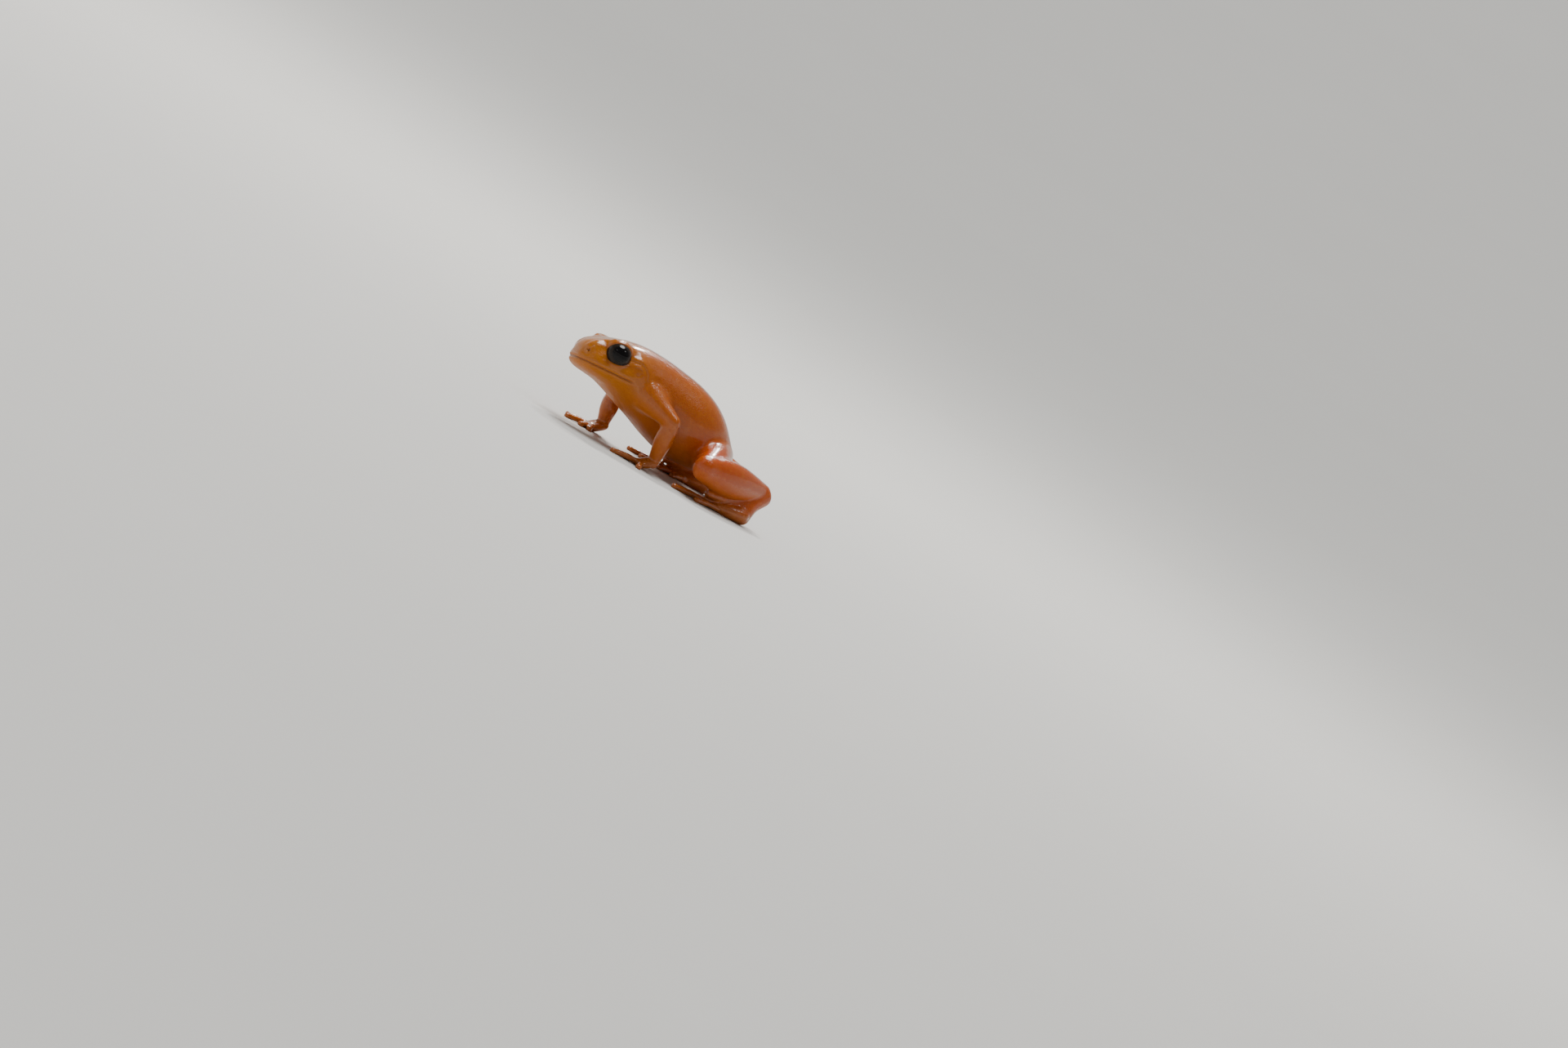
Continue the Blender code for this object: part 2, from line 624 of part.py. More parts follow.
def main():
    clear_scene()
    frog = bpy.data.collections.new("golden_mantella")
    pieces = bpy.data.collections.new("pieces")
    cutters = bpy.data.collections.new("cutters")
    for collection in (frog, pieces, cutters):
        bpy.context.scene.collection.children.link(collection)
    flesh_pieces(pieces)
    flesh = flesh_surface(pieces)
    face_cuts(cutters)
    parting_cuts(cutters)
    cut = flesh.modifiers.new("cuts", "BOOLEAN")
    cut.operation = "DIFFERENCE"
    cut.operand_type = "COLLECTION"
    cut.collection = cutters
    applied(flesh)
    parted(flesh, frog)
    for side in ("left", "right"):
        eye = leaned(mirrored(EYE_CENTRE, side))[0]
        ball("eye_" + side, eye, (EYE_RADIUS,) * 3, frog, lean_direction(mirrored(EYE_AXIS, side)), rings=10)
    for collection in (pieces, cutters):
        for item in list(collection.objects):
            bpy.data.objects.remove(item, do_unlink=True)
        bpy.data.collections.remove(collection)
    place = Matrix.Rotation(math.pi, 4, "Z") @ Matrix.Translation((-CENTRE_FORWARD, -CENTRE_LEFT, 0.0))
    for item in frog.objects:
        item.data.transform(Matrix.Scale(MM, 4) @ place)
        item.data.shade_smooth()
        item.data.set_sharp_from_angle(angle=math.radians(SHARP_DEGREES))
        painted(item)


main()
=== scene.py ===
# A golden mantella at life size, sitting alert: wet skin, black eyes, a floor, light and a camera.
# Lengths are millimetres on the frog's own axes, forward, left and up, until placed() turns them
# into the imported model's metres.
import math

import bmesh
import bpy
import numpy as np
from mathutils import Matrix, Vector


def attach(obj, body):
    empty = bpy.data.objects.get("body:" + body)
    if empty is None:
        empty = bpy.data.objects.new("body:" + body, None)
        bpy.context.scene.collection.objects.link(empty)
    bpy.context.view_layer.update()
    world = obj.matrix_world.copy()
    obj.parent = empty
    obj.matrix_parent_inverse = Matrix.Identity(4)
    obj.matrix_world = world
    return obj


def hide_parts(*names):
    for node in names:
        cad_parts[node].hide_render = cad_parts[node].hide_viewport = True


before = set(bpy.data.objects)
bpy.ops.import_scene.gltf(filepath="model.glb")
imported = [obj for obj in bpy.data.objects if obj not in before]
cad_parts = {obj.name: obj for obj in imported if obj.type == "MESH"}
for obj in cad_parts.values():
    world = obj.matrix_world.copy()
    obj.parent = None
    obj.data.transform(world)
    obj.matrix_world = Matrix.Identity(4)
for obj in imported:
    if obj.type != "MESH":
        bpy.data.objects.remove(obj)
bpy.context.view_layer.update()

stance = {
    "leanDegrees": 9.0,       # the body rolls its right side down
    "leanHeight": 7.0,
    "middleForward": 1.4,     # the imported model's origin on the frog's axes
    "middleLeft": -0.05,
}


def unit(vectors):
    vectors = np.asarray(vectors, float)
    return vectors / np.linalg.norm(vectors, axis=-1, keepdims=True)


def mirrored(point, side):
    return (point[0], point[1] if side == "left" else -point[1], point[2])


# Turns points about the body's long line, through the lean's angle or back again.
def leaned(points, back=False):
    points = np.atleast_2d(np.asarray(points, float))
    angle = math.radians(stance["leanDegrees"]) * (-1.0 if back else 1.0)
    left, up = points[:, 1], points[:, 2] - stance["leanHeight"]
    turned = points.copy()
    turned[:, 1] = left * math.cos(angle) - up * math.sin(angle)
    turned[:, 2] = left * math.sin(angle) + up * math.cos(angle) + stance["leanHeight"]
    return turned


def leanedWay(way):
    lift = np.array((0.0, 0.0, stance["leanHeight"]))
    return unit(leaned(np.add(way, lift))[0] - lift)


# The frog faces -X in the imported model, with its left side toward -Y.
def placed(points):
    points = np.asarray(points, float)
    forward = stance["middleForward"] - points[..., 0]
    left = stance["middleLeft"] - points[..., 1]
    return np.stack((forward, left, points[..., 2]), axis=-1) * 0.001


# 0 below low, 1 above high, and an even S curve 3t^2 - 2t^3 between; low may be the larger.
def eased(low, high, values):
    t = np.clip((np.asarray(values, float) - low) / (high - low), 0.0, 1.0)
    return t * t * (3.0 - 2.0 * t)


# A bell of the given width about a centre: exp(-((v - centre) / width)^2).
def bell(values, centre, width):
    return np.exp(-(((np.asarray(values, float) - centre) / width) ** 2))


# Rows of numbers read along a cubic curve through all of them, at even steps of its length.
def smoothRows(rows, count):
    rows = np.asarray(rows, float)
    steps = np.linalg.norm(np.diff(rows[:, :3], axis=0), axis=1)
    places = np.concatenate(([0.0], np.cumsum(steps)))
    slopes = np.gradient(rows, places, axis=0)
    wanted = np.linspace(0.0, places[-1], count)
    index = np.clip(np.searchsorted(places, wanted, side="right") - 1, 0, len(places) - 2)
    width = (places[index + 1] - places[index])[:, None]
    t = (wanted - places[index])[:, None] / width
    first = (2 * t**3 - 3 * t**2 + 1) * rows[index] + (t**3 - 2 * t**2 + t) * width * slopes[index]
    return first + (3 * t**2 - 2 * t**3) * rows[index + 1] + (t**3 - t**2) * width * slopes[index + 1]


trunk = {
    # forward, underside, top, half width, height of the widest line, roundness, body upright
    "stations": (
        (15.95, 7.35, 7.60, 0.05, 0.50, 2.0), (15.80, 6.50, 8.60, 1.40, 0.46, 2.1),
        (15.25, 6.05, 9.30, 2.35, 0.43, 2.5), (14.35, 5.88, 9.90, 3.05, 0.42, 2.8),
        (13.00, 5.80, 10.60, 3.60, 0.40, 2.8), (11.50, 5.65, 11.15, 4.00, 0.39, 2.6),
        (10.00, 5.20, 11.55, 4.20, 0.40, 2.3), (8.00, 4.50, 11.80, 4.10, 0.42, 2.2),
        (5.80, 3.80, 11.80, 4.15, 0.44, 2.2), (3.00, 2.85, 11.55, 4.50, 0.43, 2.2),
        (0.00, 2.20, 11.10, 4.80, 0.42, 2.2), (-2.20, 2.10, 10.40, 4.45, 0.43, 2.2),
        (-4.20, 2.25, 9.30, 3.60, 0.45, 2.2), (-5.70, 2.60, 8.05, 2.80, 0.47, 2.1),
        (-6.90, 3.30, 6.80, 2.10, 0.50, 2.0), (-7.55, 4.30, 5.80, 1.05, 0.50, 2.0),
        (-7.70, 4.95, 5.15, 0.05, 0.50, 2.0)),
    "rings": 120,
    "ringPoints": 96,
}


# Along the body u picks a station; round it by v the ring is half width * |cos v|^(2/roundness) and,
# from the widest line, up or down by the reach * |sin v|^(2/roundness), each with its own sign.
def trunkSurface():
    rows = smoothRows(trunk["stations"], trunk["rings"])[::-1, :, None]
    v = np.linspace(0.0, 2 * math.pi, trunk["ringPoints"], endpoint=False)[None, :]
    forward, bottom, top, half, widest, roundness = (rows[:, column] for column in range(6))
    middle = bottom + widest * (top - bottom)
    reach = np.where(np.sin(v) > 0, top - middle, middle - bottom)
    left = half * np.sign(np.cos(v)) * np.abs(np.cos(v)) ** (2.0 / roundness)
    up = middle + reach * np.sign(np.sin(v)) * np.abs(np.sin(v)) ** (2.0 / roundness)
    grid = np.stack(np.broadcast_arrays(forward, left, up), axis=-1)
    return leaned(grid.reshape(-1, 3)).reshape(grid.shape)


# How far out the upright trunk's side is at places along it and heights.
def flankAt(forward, height):
    rows = np.asarray(trunk["stations"])[::-1]
    bottom, top, half, widest, roundness = (
        np.interp(forward, rows[:, 0], rows[:, column]) for column in range(1, 6))
    middle = bottom + widest * (top - bottom)
    reach = np.where(height > middle, top - middle, middle - bottom)
    share = np.clip(np.abs(height - middle) / reach, 0.0, 1.0)
    return half * (1.0 - share**roundness) ** (1.0 / roundness)


forms = {
    "evenedOver": 4,             # a limb's radius is the mean over this many rings on either side
    "capRings": 6,
    "capDegrees": (84.0, 12.0),
    "pole": 0.03,                # radians from a ball's axis to its first ring
}


# A path runs smoothly through the points; round it at t goes r(t) (a cos v S + b sin v O), with S and O
# square to the path and a and b its flatness, and each end closes in half a ball of the same flatness.
def limbSurface(points, radii, flatness=(1.0, 1.0), across=(0.0, 0.0, 1.0), rings=40, sides=36):
    points = np.asarray(points, float)
    path = smoothRows(points, rings)
    radius = np.interp(np.linspace(0.0, 1.0, rings), np.linspace(0.0, 1.0, len(radii)), radii)
    reach, capRings = forms["evenedOver"], forms["capRings"]
    window = np.ones(2 * reach + 1) / (2 * reach + 1)
    radius = np.convolve(np.pad(radius, reach, mode="edge"), window, mode="valid")
    along = unit(np.gradient(path, axis=0))
    cap = np.radians(np.linspace(*forms["capDegrees"], capRings))[:, None]
    centres = np.concatenate((path[:1] - along[:1] * radius[0] * np.sin(cap), path,
                              path[-1:] + along[-1:] * radius[-1] * np.sin(cap[::-1])))
    sizes = np.concatenate((radius[0] * np.cos(cap[:, 0]), radius, radius[-1] * np.cos(cap[::-1, 0])))
    ways = np.concatenate((along[:1].repeat(capRings, axis=0), along,
                           along[-1:].repeat(capRings, axis=0)))
    side = unit(np.cross(across, ways))[:, None, :]
    over = np.cross(ways, side[:, 0])[:, None, :]
    v = np.linspace(0.0, 2 * math.pi, sides, endpoint=False)[None, :, None]
    ring = np.cos(v) * flatness[0] * side + np.sin(v) * flatness[1] * over
    return centres[:, None, :] + sizes[:, None, None] * ring


# A ball or egg: centre + radii * (sin u cos v, sin u sin v, cos u) on axes turned to the given way.
def ballSurface(centre, radii, way=(0.0, 0.0, 1.0), rings=24, sides=48):
    way = unit(way)
    first = unit(np.cross((1.0, 0.0, 0.0) if abs(way[0]) < 0.8 else (0.0, 1.0, 0.0), way))
    second = np.cross(way, first)
    u = np.linspace(math.pi - forms["pole"], forms["pole"], rings)[:, None, None]
    v = np.linspace(0.0, 2 * math.pi, sides, endpoint=False)[None, :, None]
    across = radii[0] * np.cos(v) * first + radii[1] * np.sin(v) * second
    return np.asarray(centre) + np.sin(u) * across + radii[2] * np.cos(u) * way


# One mesh from several grids of rings: quads between neighbouring rings and a flat face on each end.
def meshOfGrids(name, grids):
    points, faces, start = [], [], 0
    for grid in grids:
        rings, sides = grid.shape[:2]
        index = start + np.arange(rings * sides).reshape(rings, sides)
        around = np.roll(index, -1, axis=1)
        quads = np.stack((index[:-1], around[:-1], around[1:], index[1:]), axis=-1)
        faces += quads.reshape(-1, 4).tolist() + [index[0, ::-1].tolist(), index[-1].tolist()]
        points.append(grid.reshape(-1, 3))
        start += rings * sides
    mesh = bpy.data.meshes.new(name)
    mesh.from_pydata(np.concatenate(points).tolist(), [], faces)
    return mesh


def newPiece(name, mesh):
    piece = bpy.data.objects.new(name, mesh)
    bpy.context.scene.collection.objects.link(piece)
    return piece


eyes = {
    "centre": (12.18, 2.75, 9.10),     # the left eye's, body upright
    "radius": 1.53,
    "bulge": 0.05,                     # how far the clear front stands out
    "bulgeWidth": 0.7,                 # radians
    "rings": 72,
    "ringPoints": 96,
    "way": (0.34, 0.93, 0.14),         # the way that it looks
    "lidRadius": 1.90,
    "openingWidth": 86.0,              # degrees from the way it looks to the corners of the lids
    "openingHeight": 53.0,             # and to the lids' middles
    "openingTilt": 12.0,               # degrees that the front corner is turned down
    "rimRadius": 1.64,                 # how far the lids' edge stands from the eye's centre
    "floorRadius": 1.22,               # the skin goes on behind the eye at this radius
    # places in these are shares of the opening's angle: 1 is its edge
    "swell": (0.05, 1.10, 0.08),       # the rim's height, place and width
    "slope": (0.35, 1.10, 0.50),       # how fast the lids rise past a place, and how far on
    "tuckedAt": 0.90,                  # inside this the skin lies behind the eye
    "easedBack": (1.48, 1.02),         # the head's own shape, and the lids' alone
    "redEdge": (1.03, 0.07),           # place and width
    # none and all of the lids, in millimetres from the eye's centre and above the line of the mouth
    "reach": (2.8, 2.0),
    "clearOfMouth": (0.3, 1.0),
}

arms = {
    # shoulder, elbow and wrist on each side
    "left": ((6.8, 2.9, 7.3), (3.85, 6.20, 6.30), (2.95, 5.55, 1.25)),
    "right": ((6.8, -2.9, 6.6), (5.80, -6.40, 5.10), (5.30, -5.90, 1.20)),
    "upperRadii": (2.00, 1.70, 1.25, 0.98),
    "foreRadii": (0.92, 1.12, 1.12, 0.90, 0.70),
    "foreFlatness": (1.0, 0.95),
}

legs = {
    # hip, knee, heel and ankle on each side
    "left": ((-5.6, 1.6, 5.0), (-1.70, 8.30, 3.85), (-11.8, 3.80, 4.20), (-9.75, 5.65, 1.05)),
    "right": ((-5.6, -1.9, 4.6), (-1.65, -8.40, 3.95), (-11.8, -4.10, 4.10), (-9.65, -5.95, 1.05)),
    "thighRadii": (2.10, 2.25, 2.20, 1.85, 1.50),
    "thighFlatness": (0.88, 1.05),
    "shankRadii": (1.55, 2.10, 2.10, 1.70, 1.15),
    "shankFlatness": (0.85, 1.0),
    "tarsusRadii": (1.15, 1.15, 1.10),
    "tarsusBow": (0.35, 0.0, 0.1),
    "tarsusFlatness": (1.0, 1.35),
    # where the calf presses on the foot, from the ankle: forward, outward and up
    "press": ((0.15, -0.25, 1.15), (1.95, 0.10, 0.82), (3.60, 0.45, 0.50), (5.20, 0.90, 0.34)),
    "pressRadii": (0.50, 0.48, 0.46, 0.42),
    "pressFlatness": (1.3, 1.0),
}

hands = {
    "heading": {"left": 2.0, "right": -18.0},      # degrees outward from straight ahead
    "spreads": {"left": (-46.0, -22.0, 0.0, 62.0), "right": (-44.0, -22.0, 4.0, 42.0)},
    "lengths": (2.5, 2.9, 3.9, 3.0),
    "palmLength": 1.3,
    "palmRadii": (0.66, 0.72, 0.70),
    "palmHeight": 0.48,
    "inset": 0.4,
    "rootHeight": 0.45,
}

feet = {
    "heading": {"left": 5.0, "right": 8.0},
    "spreads": (-34.0, -20.0, -8.0, 3.0, 18.0),
    "lengths": (1.9, 2.9, 4.6, 6.2, 4.3),
    "soleLength": 3.6,
    "soleRadii": (1.22, 1.14, 0.66),
    "soleFlatness": (1.20, 0.85),
    "soleHeight": 0.46,
    "bumpPlace": (2.5, -0.85, 0.36),     # ahead of the ankle, outward and up
    "bumpRadii": (0.62, 0.42, 0.40),
    "inset": 1.1,
    "stagger": 0.45,
    "fan": 0.6,
    "rootHeight": 0.42,
}

digits = {
    "radii": (0.38, 0.31, 0.35, 0.29, 0.35, 0.29, 0.31),    # thick at the joints, thin between them
    "height": 0.24,
    "arch": 0.16,
    "padRadius": 0.42,
    "padWidth": 0.95,
    "padFlatness": 0.80,
    "flatness": (1.45, 0.80),                    # of the palm
}


def headingWay(degrees, side):
    angle = math.radians(degrees)
    return np.array((math.cos(angle), math.sin(angle) * (1.0 if side == "left" else -1.0), 0.0))


# One finger or toe: a low arch from its root to a small round pad on the floor.
def digitSurfaces(root, way, length):
    tip = root + way * length
    tip[2] = digits["height"]
    middle = (root + tip) * 0.5
    middle[2] = digits["height"] + digits["arch"]
    pad = digits["padRadius"] * np.array((1.0, digits["padWidth"], digits["padFlatness"]))
    return [limbSurface((root, middle, tip), digits["radii"], rings=30, sides=24),
            ballSurface(tip, pad, rings=16, sides=28)]


def handSurfaces(side):
    wrist = np.array(arms[side][2])
    palm = wrist + headingWay(hands["heading"][side], side) * hands["palmLength"]
    palm[2] = hands["palmHeight"]
    grids = [limbSurface((wrist, (wrist + palm) * 0.5, palm), hands["palmRadii"], digits["flatness"])]
    for spread, length in zip(hands["spreads"][side], hands["lengths"]):
        way = headingWay(hands["heading"][side] + spread, side)
        root = palm + way * hands["inset"]
        root[2] = hands["rootHeight"]
        grids += digitSurfaces(root, way, length - hands["inset"])
    return grids


def footSurfaces(side):
    ankle = np.array(legs[side][3])
    ahead = headingWay(feet["heading"][side], side)
    sole = ankle + ahead * feet["soleLength"]
    sole[2] = feet["soleHeight"]
    grids = [limbSurface((ankle, (ankle + sole) * 0.5, sole), feet["soleRadii"], feet["soleFlatness"])]
    across = headingWay(feet["heading"][side] + 90.0, side)
    bump = ankle + ahead * feet["bumpPlace"][0] + across * feet["bumpPlace"][1]
    bump[2] = feet["bumpPlace"][2]
    grids.append(ballSurface(bump, feet["bumpRadii"]))
    for number, (spread, length) in enumerate(zip(feet["spreads"], feet["lengths"]), 1):
        fromEdge = min(number, len(feet["lengths"]) + 1 - number)
        inset = feet["soleLength"] - feet["inset"] + feet["stagger"] * fromEdge
        root = ankle + headingWay(feet["heading"][side] + spread * feet["fan"], side) * inset
        root[2] = feet["rootHeight"]
        grids += digitSurfaces(root, headingWay(feet["heading"][side] + spread, side), length)
    return grids


def eyeCentre(side):
    return leaned(mirrored(eyes["centre"], side))[0]


# Every form of the body as overlapping closed surfaces, which the skin then runs over as one.
def fleshSurfaces():
    grids = [trunkSurface()]
    for side in ("left", "right"):
        shoulder, elbow, wrist = (np.array(joint) for joint in arms[side])
        hip, knee, heel, ankle = (np.array(joint) for joint in legs[side])
        grids.append(ballSurface(eyeCentre(side), (eyes["lidRadius"],) * 3))
        grids.append(limbSurface((shoulder, (shoulder + elbow) * 0.5, elbow), arms["upperRadii"]))
        grids.append(limbSurface((elbow, (elbow + wrist) * 0.5, wrist), arms["foreRadii"],
                                 arms["foreFlatness"], (1.0, 0.0, 0.0)))
        grids.append(limbSurface((hip, (hip + knee) * 0.5, knee), legs["thighRadii"],
                                 legs["thighFlatness"]))
        grids.append(limbSurface((knee, (knee + heel) * 0.5, heel), legs["shankRadii"],
                                 legs["shankFlatness"]))
        grids.append(limbSurface((heel, (heel + ankle) * 0.5 + legs["tarsusBow"], ankle),
                                 legs["tarsusRadii"], legs["tarsusFlatness"], (1.0, 0.0, 0.0)))
        press = [ankle + mirrored(offset, side) for offset in legs["press"]]
        grids.append(limbSurface(press, legs["pressRadii"], legs["pressFlatness"]))
        grids += handSurfaces(side) + footSurfaces(side)
    return grids


skinMesh = {
    "voxel": 0.165,
    "evenSteps": (0.5, -0.52) * 4,
    "blendSteps": (0.6,) * 32,
    # the blends' reaches, and how far along the first stretch of a limb its root's blend lies
    "elbow": 1.0, "knee": 1.6, "heel": 1.2, "eye": 2.3, "shoulder": 2.0, "hip": 3.2,
    "shoulderAlong": 0.30, "hipAlong": 0.42,
    "trunkBlend": 0.45, "trunkAbove": 2.5, "trunkWithin": 4.0,
    "headFrom": 7.6,             # forward of this the skin is twice as fine
    "headAbove": 4.5,
    "headFade": 0.5,
    "headSteps": (0.5, -0.51) * 3,
    "headSmoothAbove": 4.0,
}


def pointsOf(mesh):
    flat = np.empty(len(mesh.vertices) * 3)
    mesh.vertices.foreach_get("co", flat)
    return flat.reshape(-1, 3)


def edgesOf(mesh):
    flat = np.empty(len(mesh.edges) * 2, np.int64)
    mesh.edges.foreach_get("vertices", flat)
    return flat.reshape(-1, 2)


def normalsOf(mesh, points):
    mesh.vertices.foreach_set("co", points.ravel())
    mesh.update()
    flat = np.empty(len(points) * 3)
    mesh.vertex_normals.foreach_get("vector", flat)
    return flat.reshape(-1, 3)


# The mean of each point's neighbours, from the list of edges.
def neighbourMean(values, edges):
    count = np.bincount(edges.ravel(), minlength=len(values))
    both = np.concatenate((edges, edges[:, ::-1]))
    columns = [np.bincount(both[:, 0], values[both[:, 1], axis], len(values))
               for axis in range(values.shape[1])]
    return np.stack(columns, axis=1) / count[:, None]


def relaxed(points, edges, factors, strength=1.0):
    strength = np.broadcast_to(np.asarray(strength, float).reshape(-1, 1), (len(points), 1))
    for factor in factors:
        points = points + factor * strength * (neighbourMean(points, edges) - points)
    return points


# Where limbs run into the body the skin stretches in a wide, soft blend: exp(-(distance / reach)^4).
def blendStrength(points):
    strength = np.zeros(len(points))
    for side in ("left", "right"):
        shoulder, elbow, _ = (np.array(joint) for joint in arms[side])
        hip, knee, heel, _ = (np.array(joint) for joint in legs[side])
        places = {"shoulder": shoulder + (elbow - shoulder) * skinMesh["shoulderAlong"], "elbow": elbow,
                  "hip": hip + (knee - hip) * skinMesh["hipAlong"], "knee": knee, "heel": heel,
                  "eye": eyeCentre(side)}
        for name, place in places.items():
            away = np.linalg.norm(points - place, axis=1) / skinMesh[name]
            strength = np.maximum(strength, np.exp(-(away**4)))
    onTrunk = (points[:, 2] > skinMesh["trunkAbove"]) & (np.abs(points[:, 1]) < skinMesh["trunkWithin"])
    return np.maximum(strength, np.where(onTrunk, skinMesh["trunkBlend"], 0.0))


def bakedMesh(piece):
    mesh = bpy.data.meshes.new_from_object(piece.evaluated_get(bpy.context.evaluated_depsgraph_get()))
    piece.modifiers.clear()
    piece.data = mesh
    return mesh


# One closed skin over all the forms: steps of +a and -b toward the neighbours' mean even it without
# shrinking it, steps of one sign blend it, and the head's faces are each split in four.
def rawSkin():
    piece = newPiece("skin", meshOfGrids("skin", fleshSurfaces()))
    remesh = piece.modifiers.new("skin", "REMESH")
    remesh.mode = "VOXEL"
    remesh.voxel_size = skinMesh["voxel"]
    mesh = bakedMesh(piece)
    points, edges = pointsOf(mesh), edgesOf(mesh)
    points = relaxed(points, edges, skinMesh["evenSteps"])
    points = relaxed(points, edges, skinMesh["blendSteps"], blendStrength(points))
    mesh.vertices.foreach_set("co", points.ravel())
    middles = points[edges].mean(axis=1)
    onHead = np.flatnonzero((leaned(middles, back=True)[:, 0] > skinMesh["headFrom"])
                            & (middles[:, 2] > skinMesh["headAbove"]))
    work = bmesh.new()
    work.from_mesh(mesh)
    work.edges.ensure_lookup_table()
    bmesh.ops.subdivide_edges(work, edges=[work.edges[i] for i in onHead], cuts=1, use_grid_fill=True)
    work.to_mesh(mesh)
    work.free()
    points, edges = pointsOf(mesh), edgesOf(mesh)
    ends = (skinMesh["headFrom"] - skinMesh["headFade"], skinMesh["headFrom"] + skinMesh["headFade"])
    fine = eased(*ends, leaned(points, back=True)[:, 0]) * (points[:, 2] > skinMesh["headSmoothAbove"])
    points = relaxed(points, edges, skinMesh["headSteps"], fine)
    mesh.vertices.foreach_set("co", points.ravel())
    mesh.update()
    return piece


face = {
    "mouthHeight": 6.85, "mouthFront": 15.85, "cornerForward": 9.7, "cornerHeight": 7.15,
    "mouthRise": 1.5, "mouthFade": (9.2, 10.2), "throatHeight": 4.0,
    "lipSwell": 0.06, "lipStep": 0.40, "lipWidth": 0.34,
    # the colour widths give how wide the painted shade along the mouth's groove and in the nostrils is
    "mouthDepth": 0.12, "mouthWidth": 0.085, "mouthShadeWidth": 0.068,
    "nostril": (15.45, 8.15), "nostrilWidth": 0.16, "nostrilDepth": 0.22, "nostrilShadeWidth": 0.12,
    "nostrilRim": (0.05, 0.33, 0.13),     # height, place and width
    "drum": (9.55, 8.50), "drumRadius": 0.60, "drumDepth": 0.05, "drumStep": (1.0, 0.78),
    "drumRim": (0.012, 1.08, 0.14),       # height, and place and width as shares of the radius
    "drumBoss": (0.35, 0.35),             # share of the depth and of the radius
}

# Ridges on the sides of the head, each with a hollow below it. A path is forward and height, and each
# ridge fades in between two places at its back, at its front and on its way out from the middle.
ridges = (
    # from the eye over the ear drum to the shoulder
    {"path": ((11.0, 9.30), (10.2, 9.72), (9.3, 9.75), (8.5, 9.20), (8.0, 8.35), (7.5, 7.70)),
     "steps": 30, "height": 0.09, "width": 0.34, "drop": 0.36, "depth": 0.072, "hollow": 0.20,
     "back": (7.2, 8.2), "front": (11.6, 10.6), "side": (1.999, 2.0)},
    # from the eye over the nostril to the tip of the snout, with the flat cheek under it
    {"path": ((13.3, 10.45), (14.2, 9.85), (15.0, 9.20), (15.6, 8.60)),
     "steps": 20, "height": 0.13, "width": 0.34, "drop": 0.85, "depth": 0.12, "hollow": 0.55,
     "back": (12.6, 13.4), "front": (17.0, 16.5), "side": (0.8, 1.6)},
)


# The height of the line of the mouth: with t 0 at the snout and 1 at the corner, it rises by t^rise.
def mouthLine(forward):
    t = np.clip((face["mouthFront"] - forward) / (face["mouthFront"] - face["cornerForward"]), 0.0, 1.0)
    return face["mouthHeight"] + (face["cornerHeight"] - face["mouthHeight"]) * t ** face["mouthRise"]


def sidePoint(place, side):
    return leaned(mirrored((place[0], float(flankAt(*place)), place[1]), side))[0]


# How far points lie from a path of straight stretches.
def awayFrom(points, path):
    path = np.asarray(path, float)
    start, run = path[:-1], np.diff(path, axis=0)
    offset = points[:, None, :] - start[None]
    t = np.clip((offset * run).sum(axis=2) / (run * run).sum(axis=1), 0.0, 1.0)
    return np.linalg.norm(offset - t[..., None] * run, axis=2).min(axis=1)


# How far a ridge lifts points of the upright body: height * bell of the distance from its path, less
# depth * bell of the distance from the same path lowered by drop.
def ridgeLift(body, ridge):
    forward, across = body[:, 0], np.abs(body[:, 1])
    lift = np.zeros(len(body))
    near = (forward > ridge["back"][0]) & (forward < ridge["front"][0]) & (across > ridge["side"][0])
    path = smoothRows([(*place, 0.0) for place in ridge["path"]], ridge["steps"])[:, :2]
    flat = body[near][:, (0, 2)]
    top = ridge["height"] * bell(awayFrom(flat, path), 0.0, ridge["width"])
    below = ridge["depth"] * bell(awayFrom(flat + (0.0, ridge["drop"]), path), 0.0, ridge["hollow"])
    fade = eased(*ridge["back"], forward[near]) * eased(*ridge["front"], forward[near])
    lift[near] = fade * eased(*ridge["side"], across[near]) * (top - below)
    return lift


# Lips, nostrils, ear drums and ridges: each a bell or a ring pushed along the normals.
def sculptFace(points, normals, marks):
    body = leaned(points, back=True)
    onHead = eased(*face["mouthFade"], body[:, 0]) * (points[:, 2] > face["throatHeight"])
    fromMouth = body[:, 2] - mouthLine(body[:, 0])
    lips = bell(np.abs(fromMouth), face["lipStep"], face["lipWidth"])
    line = bell(fromMouth, 0.0, face["mouthWidth"])
    push = onHead * (face["lipSwell"] * lips - face["mouthDepth"] * line)
    # painted shade along the groove of the mouth, and further down in the nostrils' hollows
    marks["mouth"] = onHead * bell(fromMouth, 0.0, face["mouthShadeWidth"])
    marks["nostril"] = np.zeros(len(points))
    marks["drum"] = np.zeros(len(points))
    for side in ("left", "right"):
        away = np.linalg.norm(points - sidePoint(face["nostril"], side), axis=1)
        height, place, width = face["nostrilRim"]
        push += height * bell(away, place, width)
        push -= face["nostrilDepth"] * bell(away, 0.0, face["nostrilWidth"])
        marks["nostril"] = np.maximum(marks["nostril"], bell(away, 0.0, face["nostrilShadeWidth"]))
        away = np.linalg.norm(points - sidePoint(face["drum"], side), axis=1) / face["drumRadius"]
        height, place, width = face["drumRim"]
        boss, bossWidth = face["drumBoss"]
        inside = eased(*face["drumStep"], away)
        push += height * bell(away, place, width)
        push -= face["drumDepth"] * inside * (1.0 - boss * bell(away, 0.0, bossWidth))
        marks["drum"] = np.maximum(marks["drum"], inside)
    for ridge in ridges:
        push += ridgeLift(body, ridge)
    return points + normals * push[:, None]


